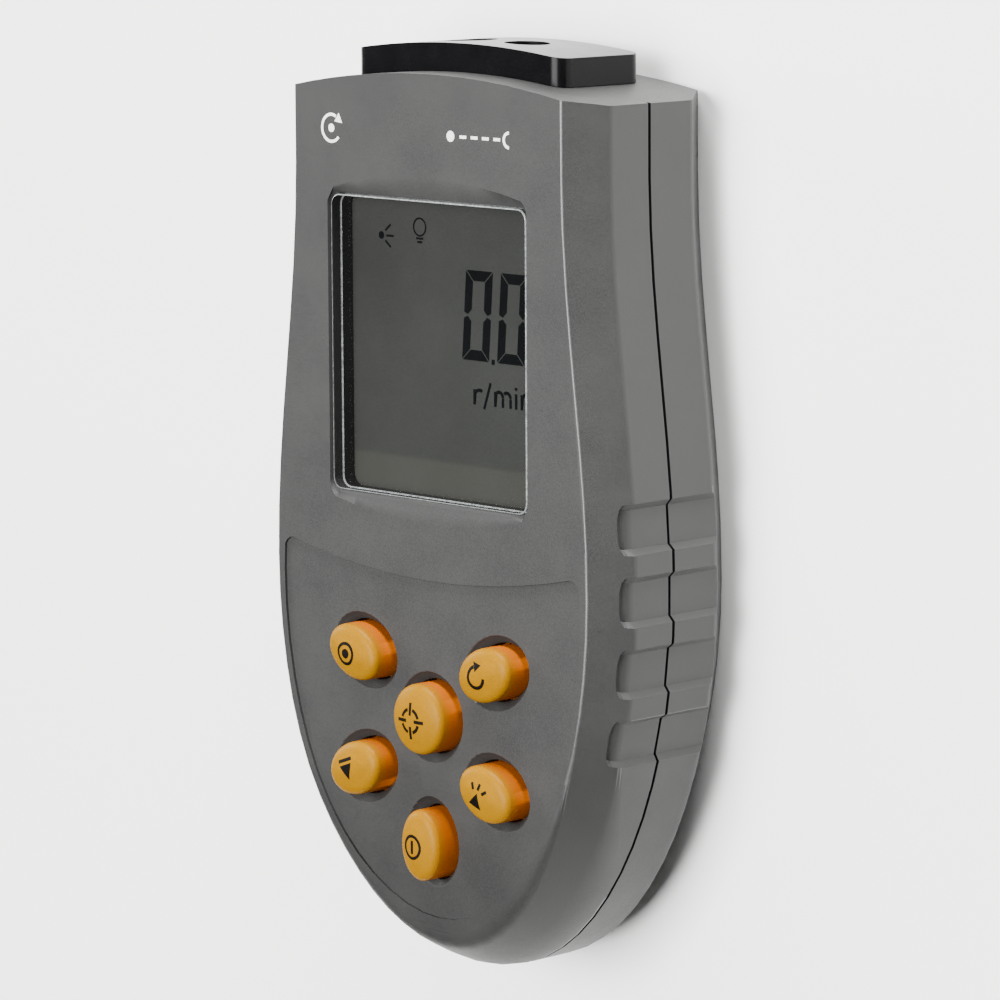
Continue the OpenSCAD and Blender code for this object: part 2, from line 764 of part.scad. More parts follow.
module contact_pads() {
    color("gold")
        for (k = KEYS) {
            at_key(k)
                translate([0, 0, board_top])
                    cylinder(h = pad_t, r = pill_r + 0.3, $fn = fine);
        }
}

chip_w = 7;
chip_t = 1.5;
chip_lead = 1.2;
chip_x = bay_w / 2 + bay_wall + chip_lead + chip_w / 2 + screw_play * 9;
chip_up = (screw_low_y + board_low_y) / 2;
module chip(w, l, t, x, up, pins, pitch) {
    translate([x, end_y + up, board_z]) {
        translate([-w / 2, -l / 2, -t - seat])
            cube([w, l, t]);
        for (i = [0:pins - 1], s = [-1, 1]) {
            translate([s * (w / 2 + chip_lead / 2) - chip_lead / 2 - (s > 0 ? seat : -seat),
                (i - (pins - 1) / 2) * pitch - pitch / 4, -t / 2])
                cube([chip_lead, pitch / 2, t / 2]);
        }
    }
}

chip_pitch = 0.8;
module microcontroller() {
    color("#202022")
        chip(chip_w, chip_w, chip_t, -chip_x, chip_up, 8, chip_pitch);
}

amp_w = 4;
amp_l = 5;
amp_t = 1.4;
amp_x = 17;
amp_up = 104;
amp_pitch = 1.27;
module amplifier_chip() {
    color("#202022")
        chip(amp_w, amp_l, amp_t, -amp_x, amp_up, 4, amp_pitch);
}

reg_w = 4;
reg_l = 4.5;
reg_t = 1.5;
reg_pitch = 1.5;
module voltage_regulator() {
    color("#202022")
        chip(reg_w, reg_l, reg_t, chip_x, crystal_up, 3, reg_pitch);
}

crystal_w = 4.6;
crystal_l = 10.8;
crystal_t = 3.5;
crystal_up = board_low_y + small_head_r + crystal_l / 2 + screw_play * 20;
module quartz_crystal() {
    color("silver")
        translate([-chip_x, end_y + crystal_up, board_z - crystal_t])
            linear_extrude(crystal_t)
                polygon(rounded_box(crystal_w, crystal_l, crystal_w / 2 - seat));
}

can_l = 7;
can_r = 3.1;
can_base_w = 6.6;
can_base_t = 1;
module capacitor() {
    color("midnightblue")
        translate([chip_x, end_y + chip_up, board_z - can_l]) {
            cylinder(h = can_l - seat * 3, r = can_r, $fn = fine);
            translate([-can_base_w / 2, -can_base_w / 2, can_l - can_base_t])
                cube([can_base_w, can_base_w, can_base_t]);
        }
}

module keypad_mat() {
    color("orange")
        difference() {
            union() {
                intersection() {
                    translate([0, 0, board_top])
                        linear_extrude(mat_t)
                            field_outline();
                    shell_loft([for (p = half_outline) let (d = mix(board_in + 2, board_low_in + 1, end_share(p[1])))
                        [[d, board_top - over], [d, mat_top + over]]]);
                }
                for (k = KEYS) {
                    at_key(k)
                        translate([0, 0, mat_top - over / 10])
                            linear_extrude(key_foot + flange_t - mat_top + over / 10)
                                polygon(widen(k, flange_w + web_gap + 2 * web_w));
                }
            }
            for (k = KEYS) {
                at_key(k) {
                    translate([0, 0, board_top - over])
                        linear_extrude(key_foot + flange_t - web_t - board_top + over)
                            polygon(widen(k, flange_w + web_gap + web_w));
                    translate([0, 0, board_top - over])
                        linear_extrude(key_foot + flange_t - board_top + 2 * over)
                            polygon(widen(k, flange_w + web_gap));
                }
            }
            at_each(case_screws_at, board_top - over)
                cylinder(h = 2 * mat_t + 2 * over, r = boss_r + 0.3, $fn = fine);
            at_each(board_screws_at, board_top - over)
                cylinder(h = 2 * mat_t + 2 * over, r = small_boss_r + 0.3, $fn = fine);
        }
}

// Oval column with a retaining flange at its foot and a domed, rounded top
module key(k) {
    top = key_top(k);
    crown = 0.35;
    color("orange")
        at_key(k) {
            translate([0, 0, key_foot])
                linear_extrude(flange_t)
                    polygon(widen(k, flange_w));
            loft(concat([at_height(widen(k, 0), key_foot + flange_t - seat)],
                [for (i = [0:dome_n]) let (a = 90 * i / dome_n)
                    at_height(widen(k, -key_round * (1 - cos(a))),
                        top - crown - key_round * (1 - sin(a)) * 0.8)],
                [at_height(widen(k, -mix(key_round, k[4], 0.4)), top - crown * 0.35),
                    at_height(widen(k, -k[4] * 0.8), top)]));
        }
}

module pill(k) {
    color("#1a1a1a")
        at_key(k)
            translate([0, 0, pill_z])
                cylinder(h = pill_t, r = pill_r, $fn = fine);
}

module key_record() { key(KEYS[0]); }
module key_auto() { key(KEYS[1]); }
module key_test() { key(KEYS[2]); }
module key_max() { key(KEYS[3]); }
module key_laser() { key(KEYS[4]); }
module key_power() { key(KEYS[5]); }
module pill_record() { pill(KEYS[0]); }
module pill_auto() { pill(KEYS[1]); }
module pill_test() { pill(KEYS[2]); }
module pill_max() { pill(KEYS[3]); }
module pill_laser() { pill(KEYS[4]); }
module pill_power() { pill(KEYS[5]); }

holder_screw_in = 2.2;
holder_screw_down = 7.3;
holder_mid = (laser_x + eye_x) / 2;
holder_screws_at = [for (s = [-1, 1]) [s * (holder_w / 2 - holder_screw_in) + holder_mid,
    holder_top - end_y - holder_screw_down]];
module optics_holder() {
    color("#151515")
        difference() {
            translate([holder_mid - holder_w / 2, holder_top - holder_l, holder_z])
                cube([holder_w, holder_l, board_z - holder_z]);
            along_y(laser_x, holder_top - holder_l + 6, head_z, holder_l, barrel_r + barrel_gap);
            along_y(laser_x, holder_top - holder_l - over, head_z, holder_l, barrel_r - 0.6);
            along_y(eye_x, holder_top - holder_l + sensor_l + over, head_z, holder_l, eye_tube_r);
            along_y(eye_x, holder_top - holder_l - over, head_z, sensor_l + 3 * over, sensor_r + barrel_gap);
            at_each(holder_screws_at, board_z - small_l + board_t - over)
                cylinder(h = small_l + over, r = small_r + screw_play, $fn = fine);
        }
}

module screw(r, l, head_r, head_t) {
    cylinder(h = l, r = r, $fn = fine);
    difference() {
        translate([0, 0, -head_t])
            cylinder(h = head_t, r = head_r, $fn = fine);
        for (a = [0, 90]) {
            rotate([0, 0, a])
                translate([-head_r * 0.6, -head_r * 0.12, -head_t - over])
                    cube([head_r * 1.2, head_r * 0.24, over + head_t / 2]);
        }
    }
}

module holder_screws() {
    color("silver")
        at_each(holder_screws_at, board_top + seat)
            rotate([180, 0, 0])
                screw(small_r, small_l, small_head_r, small_head_t);
}

barrel_bore_l = 3;
module laser_barrel() {
    color("goldenrod")
        difference() {
            along_y(laser_x, holder_top - barrel_l - seat, head_z, barrel_l, barrel_r);
            along_y(laser_x, holder_top - barrel_bore_l, head_z, barrel_bore_l + over, laser_hole_r);
        }
}

laser_board_l = 7;
laser_board_w = 4.4;
laser_board_t = 0.8;
laser_board_y = holder_top - holder_l - laser_board_l;
module laser_board() {
    color("darkgreen")
        translate([laser_x - laser_board_w / 2, laser_board_y, head_z - laser_board_t / 2])
            cube([laser_board_w, holder_top - barrel_l - seat * 2 - laser_board_y, laser_board_t]);
}

// Round tube swept along a list of points
module tube(points, r, sides = 8) {
    n = len(points);
    function way(i) = let (d = points[min(i + 1, n - 1)] - points[max(i - 1, 0)]) d / norm(d);
    loft([for (i = [0:n - 1]) let (t = way(i), u0 = cross(t, [1, 0, 0]),
        u = u0 / norm(u0), v = cross(t, u))
        [for (k = [0:sides - 1]) points[i] + r * (cos(360 * k / sides) * u + sin(360 * k / sides) * v)]]);
}

// Cubic curve from a, leaving along da and arriving at b along db
function curve(a, da, b, db, n) = [for (i = [0:n]) let (t = i / n)
    a * pow(1 - t, 3) + (a + da) * 3 * t * pow(1 - t, 2) + (b - db) * 3 * t * t * (1 - t) + b * pow(t, 3)];

wire_x = 1.2;
wire_r = 0.4;
wire_in = 3;
wire_end = 4;
module laser_leads() {
    color("firebrick")
        for (s = [-1, 1]) {
            tube(curve([laser_x + s * wire_x, laser_board_y - seat / 2, head_z], [0, -wire_end, 0],
                [laser_x + s * wire_x, laser_board_y - wire_in, board_z - seat / 2], [0, 0, wire_end], 8), wire_r);
        }
}

sensor_rim = 0.5;
sensor_pin_x = 1.27;
sensor_pin_l = 1.2;
module photo_sensor() {
    color("#30343a") {
        along_y(eye_x, holder_top - holder_l, head_z, sensor_l, sensor_r);
        along_y(eye_x, holder_top - holder_l - sensor_flange, head_z, sensor_flange, sensor_r + sensor_rim);
        for (s = [-1, 1]) {
            translate([eye_x + s * sensor_pin_x, holder_top - holder_l - sensor_flange - sensor_pin_l, head_z]) {
                rotate([-90, 0, 0])
                    translate([0, 0, -lead_pin_r])
                        cylinder(h = sensor_pin_l + 2 * lead_pin_r, r = lead_pin_r, $fn = 16);
                cylinder(h = board_z - head_z, r = lead_pin_r, $fn = 16);
            }
        }
    }
}

grip_pitch = 2;
grip_d = 0.5;
module battery_cover() {
    color("dimgray")
        difference() {
            intersection() {
                union() {
                    translate([-cover_w, end_y, cover_out])
                        cube([2 * cover_w, cover_high, cover_t - cover_out]);
                    translate([-cover_w - tongue_w, end_y + over, tongue_low])
                        cube([2 * (cover_w + tongue_w), cover_high - over, cover_t - tongue_low]);
                }
                shell_loft(sections("rear"));
            }
            // Thumb grip
            for (i = [0:4]) {
                translate([-cover_w / 2, end_y + cell_at + grip_pitch * i, -over])
                    cube([cover_w, over, over + cover_out + grip_d]);
            }
        }
}

cell_edge_r = 2;
stud_r = 2.8;
socket_r = 4;
module battery() {
    color("#c9ccd0")
        translate([0, end_y + cell_at + cell_l, cell_z + cell_t / 2])
            rotate([90, 0, 0]) {
                linear_extrude(cell_l)
                    polygon(rounded_box(cell_w, cell_t, cell_edge_r));
                for (s = [-1, 1]) {
                    translate([s * cell_w / 4, 0, -cell_cap])
                        cylinder(h = cell_cap + over, r = s > 0 ? stud_r : socket_r, $fn = fine);
                }
            }
}

snap_w = 12.5;
snap_in = 1;
snap_r = 3;
snap_y = end_y + cell_at + cell_l + snap_gap;
module battery_snap() {
    color("#161616")
        difference() {
            translate([0, snap_y + snap_t, cell_z + cell_t / 2])
                rotate([90, 0, 0])
                    linear_extrude(snap_t)
                        polygon(rounded_box(cell_w - snap_in, snap_w, snap_r));
            for (s = [-1, 1]) {
                along_y(s * cell_w / 4, snap_y - over, cell_z + cell_t / 2, cell_cap + over,
                    (s > 0 ? stud_r : socket_r) + screw_play * 2);
            }
        }
}

lead_x = 2.4;
lead_end = 5;
module lead(s) {
    tube(curve([s * lead_x, snap_y + snap_t + seat / 2, cell_z + cell_t * 0.72], [0, lead_end, 0],
        [s * lead_x, end_y + bay_high + lead_end, board_z - seat / 2], [0, 0, lead_end], 10), lead_r);
}

module lead_red() {
    color("red")
        lead(1);
}

module lead_black() {
    color("#111111")
        lead(-1);
}

pad_side = 2;
pad_end = 6;
module battery_pad() {
    color("#2b2b2b")
        translate([-cell_w / 2 + pad_side, end_y + cell_at + pad_end, pad_z])
            cube([cell_w - 2 * pad_side, cell_l - 2 * pad_end, pad_t_foam]);
}

module case_screws() {
    color("silver")
        at_each(case_screws_at, screw_seat)
            screw(screw_r, screw_l, screw_head_r, screw_head_t);
}

module board_screws() {
    color("silver")
        at_each(board_screws_at, board_z)
            screw(small_r, small_l, small_head_r, small_head_t);
}

front_case();
rear_case();
head_cap();
display_window();
lcd_frame();
lcd_panel();
lcd_pins();
main_board();
contact_pads();
microcontroller();
amplifier_chip();
quartz_crystal();
capacitor();
voltage_regulator();
keypad_mat();
key_record();
key_auto();
key_test();
key_max();
key_laser();
key_power();
pill_record();
pill_auto();
pill_test();
pill_max();
pill_laser();
pill_power();
optics_holder();
holder_screws();
laser_barrel();
laser_board();
laser_leads();
laser_lens();
receiver_lens();
photo_sensor();
battery_cover();
battery();
battery_snap();
lead_red();
lead_black();
battery_pad();
case_screws();
board_screws();
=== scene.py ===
import math

import bmesh
import bpy
from mathutils import Matrix, Vector


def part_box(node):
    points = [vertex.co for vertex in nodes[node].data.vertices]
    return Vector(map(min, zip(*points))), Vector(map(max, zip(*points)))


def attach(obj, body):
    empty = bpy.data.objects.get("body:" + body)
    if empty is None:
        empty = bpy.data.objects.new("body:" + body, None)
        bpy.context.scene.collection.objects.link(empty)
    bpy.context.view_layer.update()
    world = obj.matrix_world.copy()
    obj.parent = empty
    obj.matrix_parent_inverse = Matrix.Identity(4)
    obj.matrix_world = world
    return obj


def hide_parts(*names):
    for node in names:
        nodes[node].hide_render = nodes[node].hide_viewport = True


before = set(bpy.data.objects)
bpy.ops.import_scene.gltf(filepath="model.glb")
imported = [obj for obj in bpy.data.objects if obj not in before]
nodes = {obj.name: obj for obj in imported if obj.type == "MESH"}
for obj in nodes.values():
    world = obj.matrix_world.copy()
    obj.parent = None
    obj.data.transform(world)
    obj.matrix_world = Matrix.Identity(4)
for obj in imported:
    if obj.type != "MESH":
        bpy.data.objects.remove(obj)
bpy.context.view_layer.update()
bpy.ops.object.select_all(action="DESELECT")

MM = 0.001


# Camera.
# A long lens that looks at the display from its right and slightly from its head end.
# The instrument stands upright in the picture, so the camera is rolled until the case's
# length runs up the frame.
turn = math.radians(45.701)
rise = math.radians(8.483)
roll = math.radians(-0.299)
distance = 695.3 * MM
to_eye = Vector((math.sin(turn) * math.cos(rise), math.sin(rise), math.cos(turn) * math.cos(rise)))
side = Vector((math.cos(turn), 0, -math.sin(turn)))
up = to_eye.cross(side)
right = side * math.cos(roll) + up * math.sin(roll)
upright = up * math.cos(roll) - side * math.sin(roll)
aim = Vector((0, 0, 14.5 * MM))
shift_right, shift_up = -0.247, 0.870
eye = aim + to_eye * distance + right * shift_right * MM + upright * shift_up * MM

camera_data = bpy.data.cameras.new("camera")
camera_data.sensor_width = 36
camera_data.lens = 177.6
camera_data.clip_start = 0.05
camera_data.clip_end = 10
camera = bpy.data.objects.new("camera", camera_data)
bpy.context.scene.collection.objects.link(camera)
camera.matrix_world = Matrix((
    (right.x, upright.x, to_eye.x, eye.x),
    (right.y, upright.y, to_eye.y, eye.y),
    (right.z, upright.z, to_eye.z, eye.z),
    (0, 0, 0, 1)))
bpy.context.scene.camera = camera


# Floor and light.
# A matt white table top, large enough to fill the background, under one large soft box.
# Weak ones stand at the left and the right, and one beyond the sensor head shines along
# its top. The surroundings stay dim, so that the window mirrors little.
def linear(hex_colour):
    """A colour picked in sRGB hex, as the linear values a shader takes."""
    parts = [int(hex_colour[i:i + 2], 16) / 255 for i in (1, 3, 5)]
    return [p / 12.92 if p <= 0.04045 else ((p + 0.055) / 1.055) ** 2.4 for p in parts] + [1]


def add(tree, kind, settings=None, **links):
    """Adds a shader node. A link's value is an output socket, or a constant for that input."""
    node = tree.nodes.new("ShaderNode" + kind)
    for name, value in (settings or {}).items():
        setattr(node, name, value)
    for name, value in links.items():
        key = int(name[1:]) if name[0] == "i" and name[1:].isdigit() else name.replace("_", " ")
        socket = node.inputs[key]
        if isinstance(value, bpy.types.NodeSocket):
            tree.links.new(value, socket)
        else:
            socket.default_value = value
    return node


def new_material(name, **constants):
    """A Principled material with its constants set on the shader's own sockets."""
    material = bpy.data.materials.new(name)
    material.use_nodes = True
    shader = material.node_tree.nodes["Principled BSDF"]
    for key, value in constants.items():
        shader.inputs[key.replace("_", " ")].default_value = value
    return material, material.node_tree, shader


bpy.ops.mesh.primitive_plane_add(size=8)
floor = bpy.context.object
floor.name = "table_top"
# Matt laminate: even, nearly white, with no shine that would draw the eye
white_table = new_material("white_laminate_table", Base_Color=linear("#F4F4F2"), Roughness=0.7)[0]
floor.data.materials.append(white_table)


def soft_box(name, direction, reach, width, height, power):
    """A white area lamp, sizes in metres, at a distance from the instrument and facing it."""
    lamp = bpy.data.lights.new(name, "AREA")
    lamp.shape = "RECTANGLE"
    lamp.size = width
    lamp.size_y = height
    lamp.energy = power
    holder = bpy.data.objects.new(name, lamp)
    bpy.context.scene.collection.objects.link(holder)
    towards = Vector(direction).normalized()
    holder.location = aim + towards * reach
    holder.rotation_euler = towards.to_track_quat("Z", "Y").to_euler()


soft_box("overhead_soft_box", direction=(0.1, 0.1, 1.0), reach=1.4, width=1.0, height=0.9, power=86)
soft_box("left_soft_box", direction=(-1.0, 0.3, 0.35), reach=1.2, width=0.5, height=0.6, power=10)
soft_box("right_soft_box", direction=(1.0, 0.5, 0.25), reach=1.3, width=0.5, height=0.6, power=1.5)
soft_box("head_soft_box", direction=(0.1, 1.0, 0.2), reach=1.1, width=0.9, height=0.3, power=52)
world = bpy.data.worlds.new("studio")
world.use_nodes = True
world.node_tree.nodes["Background"].inputs["Color"].default_value = linear("#FFFFFF")
world.node_tree.nodes["Background"].inputs["Strength"].default_value = 0.08
bpy.context.scene.world = world


# The two shells and the battery cover.
# The housing is two shells and a sliding cover, injection moulded in mid grey ABS. The
# mould was spark eroded, so the skin has a fine even grain that spreads every highlight,
# and the edges that the mould parts along are rounded by a few tenths of a millimetre.
PARTING_Z, PARTING_GAP = 16, 0.5
OUTER_EDGE, INNER_CORNER, GAP = 1, 2, 3
STRIP_W = 0.3
RECESS_R, NEAR_X, NEAR_Y, MIN_RISE = 1.4, 0.6, 3, 0.3
WELD = 0.002


def mark_edges(piece, shortest):
    """Sorts a shell's faces: skin, outer edge strips (painted highlight), inner corners (painted
    shade), parting gap (painted shadow).
    """
    mesh = bmesh.new()
    mesh.from_mesh(piece.data)
    for face in mesh.faces:
        if max(abs(corner.co.z / MM - PARTING_Z) for corner in face.verts) < PARTING_GAP * 0.6:
            face.material_index = GAP
            continue
        longest = max(edge.calc_length() for edge in face.edges)
        width = face.calc_area() / longest * (2 if len(face.verts) == 3 else 1)
        if longest < shortest * MM or width > STRIP_W * MM:
            continue
        sides = [edge for edge in face.edges
                 if edge.calc_length() > longest / 2 and len(edge.link_faces) == 2]
        bends = [edge.calc_face_angle_signed(0) for edge in sides]
        face.material_index = OUTER_EDGE if sum(bends) > 0 else INNER_CORNER
    mesh.to_mesh(piece.data)
    mesh.free()


def round_recess(piece):
    """The four corners of the recess about the window, rounded like the pane in it."""
    mesh = bmesh.new()
    mesh.from_mesh(piece.data)
    low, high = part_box("display_window")

    def at_a_corner(point):
        off_x = min(abs(point.x - low.x), abs(point.x - high.x))
        off_y = min(abs(point.y - low.y), abs(point.y - high.y))
        return point.z > high.z - 0.1 * MM and off_x < NEAR_X * MM and off_y < NEAR_Y * MM

    # The recess floor is one ring, which would close over the opening if it stayed one face
    floor_ring = [face for face in mesh.faces
                  if all(abs(corner.co.z - high.z) < 0.05 * MM for corner in face.verts)]
    bmesh.ops.triangulate(mesh, faces=floor_ring)
    upright_edges = [edge for edge in mesh.edges
                     if abs(edge.verts[0].co.z - edge.verts[1].co.z) > MIN_RISE * MM
                     and all(at_a_corner(corner.co) for corner in edge.verts)
                     and edge.calc_face_angle(0) > math.radians(50)]
    bmesh.ops.bevel(mesh, geom=upright_edges, offset=RECESS_R * MM, segments=6, profile=0.5,
                    affect="EDGES", clamp_overlap=True)
    mesh.to_mesh(piece.data)
    mesh.free()


def moulded_copy(node, name, edge, angle=30, smooth=None, shortest=0.5):
    """A welded copy of a CAD node with its edges rounded, shown in the node's place."""
    piece = nodes[node].copy()
    piece.data = nodes[node].data.copy()
    piece.name = name
    piece.data.name = name
    bpy.context.scene.collection.objects.link(piece)
    piece.parent = None
    piece.matrix_world = Matrix()
    bpy.ops.object.select_all(action="DESELECT")
    piece.select_set(True)
    bpy.context.view_layer.objects.active = piece
    bpy.ops.object.mode_set(mode="EDIT")
    bpy.ops.mesh.select_all(action="SELECT")
    bpy.ops.mesh.remove_doubles(threshold=WELD * MM)
    bpy.ops.mesh.dissolve_limited(angle_limit=math.radians(0.4))
    bpy.ops.object.mode_set(mode="OBJECT")
    if node == "front_case":
        round_recess(piece)
    if edge:
        bevel = piece.modifiers.new("rounded edges", "BEVEL")
        bevel.width = edge * MM
        bevel.segments = 3
        bevel.limit_method = "ANGLE"
        bevel.angle_limit = math.radians(angle)
        bevel.use_clamp_overlap = True
        bpy.ops.object.modifier_apply(modifier=bevel.name)
    bpy.ops.object.shade_smooth_by_angle(angle=math.radians(smooth or angle + 8))
    if edge:
        # Flat faces keep their own normals, so that only the rounded edges catch the light
        even = piece.modifiers.new("flat faces stay flat", "WEIGHTED_NORMAL")
        even.keep_sharp = True
        even.weight = 80
        bpy.ops.object.modifier_apply(modifier=even.name)
        mark_edges(piece, shortest)
    bpy.ops.object.select_all(action="DESELECT")
    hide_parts(node)
    return piece


def wear(name, dark, light, patch, grain, rough, bump, height, **constants):
    """A material whose colour drifts over patches and whose skin has a fine grain.

    The sizes patch, grain and height are in mm; rough is the range of the roughness.
    """
    material, tree, shader = new_material(name, **constants)
    place = add(tree, "TexCoord").outputs["Object"]
    drift = add(tree, "TexNoise", Vector=place, Scale=1 / (patch * MM), Detail=3.0, Roughness=0.55)
    fine = add(tree, "TexNoise", Vector=place, Scale=1 / (grain * MM), Detail=2.0, Roughness=0.6)
    both = add(tree, "Mix", {"data_type": "FLOAT"}, i0=0.55, i2=drift.outputs["Fac"],
               i3=fine.outputs["Fac"])
    shade = add(tree, "ValToRGB", Fac=both.outputs[0])
    shade.color_ramp.elements[0].position = 0.36
    shade.color_ramp.elements[0].color = linear(dark)
    shade.color_ramp.elements[1].position = 0.64
    shade.color_ramp.elements[1].color = linear(light)
    tree.links.new(shade.outputs["Color"], shader.inputs["Base Color"])
    matt = add(tree, "MapRange", Value=both.outputs[0], From_Min=0.3, From_Max=0.7,
               To_Min=rough[0], To_Max=rough[1])
    tree.links.new(matt.outputs["Result"], shader.inputs["Roughness"])
    relief = add(tree, "Bump", Height=fine.outputs["Fac"], Strength=bump, Distance=height * MM)
    tree.links.new(relief.outputs["Normal"], shader.inputs["Normal"])
    return material, tree, shader, place


def wrap(piece, material, body="housing"):
    """Gives a visual piece its material and the body it rides on."""
    marked = [polygon.material_index for polygon in piece.data.polygons]
    several = material if isinstance(material, (list, tuple)) else [material]
    piece.data.materials.clear()
    for one in several:
        piece.data.materials.append(one)
    for polygon, index in zip(piece.data.polygons, marked):
        polygon.material_index = min(index, len(several) - 1)
    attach(piece, body)


def dress(node, material):
    """Puts a material on every slot of a CAD node, whose mesh stays as it is."""
    if not nodes[node].data.materials:
        nodes[node].data.materials.append(material)
    for slot in nodes[node].material_slots:
        slot.material = material


# ABS from a spark-eroded mould: 0.3 mm grain that breaks up the shine, faint tone drift
grey_abs = wear("grey_abs_spark_eroded", "#212121", "#262625", patch=9, grain=0.3,
                rough=(0.46, 0.62), bump=0.38, height=0.03, IOR=1.46, Specular_IOR_Level=0.4)[0]
# The same plastic along its outer edges, a little smoother, painted lighter as a painted highlight
# in fine light lines
edge_highlight_abs = wear("grey_abs_edge_painted_highlight", "#303030", "#3A3A39", patch=5, grain=0.5,
                  rough=(0.34, 0.44), bump=0.1, height=0.01, IOR=1.5)[0]
# And in its inner corners, where the grain stays deep, painted darker as painted shade
corner_shade_abs = wear("grey_abs_inner_corner_painted_shade", "#181818", "#1E1E1E", patch=4, grain=0.3,
                  rough=(0.6, 0.75), bump=0.4, height=0.03, IOR=1.46, Specular_IOR_Level=0.3)[0]
# And in the gap between the shells, painted nearly black as the painted shadow that lies in it
gap_shadow_abs = wear("grey_abs_gap_painted_shadow", "#050505", "#0A0A0A", patch=4, grain=0.3, rough=(0.85, 1.0),
               bump=0.4, height=0.03, Specular_IOR_Level=0.1)[0]
for node, name, edge, body in (("front_case", "front_shell", 0.2, "housing"),
                               ("rear_case", "back_shell", 0.2, "housing"),
                               ("battery_cover", "sliding_cover", 0.15, "battery_cover")):
    shell = moulded_copy(node, name, edge)
    wrap(shell, [grey_abs, edge_highlight_abs, corner_shade_abs, gap_shadow_abs], body)


# Sensor head cap with its two lenses.
# A separate cap in smooth black plastic, trapped in the split between the shells. It is
# moulded in a polished cavity, so it has a soft sheen and mirrors the bright top light.
# The receiver looks out through a clear lens and the laser through a faintly red one.
cap = moulded_copy("head_cap", "sensor_cap", edge=0.55, angle=40)
# Polished black ABS: a faint even sheen, dulled a little by handling
black_cap = wear("black_abs_polished", "#060607", "#0B0B0C", patch=4, grain=0.25, rough=(0.2, 0.26),
                 bump=0.1, height=0.004, IOR=1.5, Specular_IOR_Level=0.07)[0]
wrap(cap, black_cap)
# Clear moulded acrylic: nearly smooth, with the slight waviness of a small lens
clear_lens = wear("clear_acrylic_lens", "#F4F7FA", "#FFFFFF", patch=2, grain=0.6,
                  rough=(0.02, 0.06), bump=0.04, height=0.005, Transmission_Weight=1.0, IOR=1.49)[0]
dress("receiver_lens", clear_lens)
# Acrylic dyed faintly red, which keeps other light from the beam's own path
red_lens = wear("red_tinted_lens", "#D07A74", "#E29A94", patch=2, grain=0.6, rough=(0.02, 0.06),
                bump=0.04, height=0.005, Transmission_Weight=0.9, IOR=1.49)[0]
dress("laser_lens", red_lens)


# Keypad: silicone mat, six keys and their contact pills.
# One moulded sheet of amber silicone rubber carries the keys. Each key is a tall oval dome
# with a well rounded crown, hangs on a thin web and carries a carbon pill underneath.
# Amber silicone: soft sheen from a satin mould; light passes a little way in. The walls and the mat
# are painted a deeper orange than the yellow crown, as painted shade
amber, tree, shader, place = wear("amber_silicone", "#744F00", "#7B5500", patch=5, grain=0.35,
                                  rough=(0.32, 0.44), bump=0.1, height=0.015, IOR=1.42,
                                  Specular_IOR_Level=0.07, Subsurface_Weight=0.05,
                                  Subsurface_Scale=0.6 * MM, Subsurface_Radius=(1.0, 0.45, 0.12))
split = add(tree, "SeparateXYZ", Vector=place)
crown_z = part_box("key_test")[1].z
WALL_END, CROWN_START = 3.2, 0.5
up_the_wall = add(tree, "MapRange", {"interpolation_type": "SMOOTHSTEP"}, Value=split.outputs["Z"],
                  From_Min=crown_z - WALL_END * MM, From_Max=crown_z - CROWN_START * MM)
crown = shader.inputs["Base Color"].links[0].from_socket
# Painted shade: below the crown the colour goes over to a darker orange
wall_shade = add(tree, "Mix", {"data_type": "RGBA"}, i0=up_the_wall.outputs["Result"],
           i6=linear("#8A4300"), i7=crown)
tree.links.new(wall_shade.outputs[2], shader.inputs["Base Color"])
dress("keypad_mat", amber)
# Pressed carbon: dead matt black with a coarse crumb
carbon = wear("carbon_pill_pressed", "#0C0C0C", "#1C1C1C", patch=1.5, grain=0.15,
              rough=(0.75, 0.95), bump=0.4, height=0.02)[0]
KEY_NAMES = ("record", "auto", "test", "max", "laser", "power")
PRINT_T = 0.03
key_pieces = {}
for key in KEY_NAMES:
    dome = moulded_copy("key_" + key, "dome_" + key, edge=0, angle=50, smooth=62)
    # The crown gives way by the thickness of its print, so that the print stays in the key's height
    foot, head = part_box("key_" + key)
    press = 1 - PRINT_T * MM / (head.z - foot.z)
    dome.data.transform(Matrix.Translation((0, 0, foot.z)) @ Matrix.Diagonal((1, 1, press, 1))
                        @ Matrix.Translation((0, 0, -foot.z)))
    wrap(dome, amber, "key_" + key)
    key_pieces[key] = dome
    dress("pill_" + key, carbon)


def flat_marks(name, strokes, height, thick):
    """Closed flat outlines in mm, filled and given a thickness, as one mesh at that height."""
    curve = bpy.data.curves.new(name, "CURVE")
    curve.dimensions = "2D"
    curve.fill_mode = "BOTH" if thick else "FRONT"
    curve.extrude = thick * MM / 2
    for stroke in strokes:
        spline = curve.splines.new("POLY")
        spline.points.add(len(stroke) - 1)
        for point, (x, y) in zip(spline.points, stroke):
            point.co = (x * MM, y * MM, 0, 1)
        spline.use_cyclic_u = True
    piece = bpy.data.objects.new(name, curve)
    bpy.context.scene.collection.objects.link(piece)
    bpy.ops.object.select_all(action="DESELECT")
    piece.select_set(True)
    bpy.context.view_layer.objects.active = piece
    bpy.ops.object.convert(target="MESH")
    piece = bpy.context.object
    piece.data.transform(Matrix.Translation((0, 0, height * MM)))
    bpy.ops.object.select_all(action="DESELECT")
    return piece


def circle(x, y, r, n=40, start=0, sweep=360):
    """Points of an arc about (x, y), in mm."""
    steps = n if sweep == 360 else n + 1
    turns = [math.radians(start + sweep * i / n) for i in range(steps)]
    return [(x + r * math.cos(a), y + r * math.sin(a)) for a in turns]


def ring_arc(x, y, r, width, start, sweep, n=40):
    """A stroke of even width along an arc."""
    outer = circle(x, y, r + width / 2, n, start, sweep)
    inner = circle(x, y, r - width / 2, n, start, sweep)
    return outer + inner[::-1]


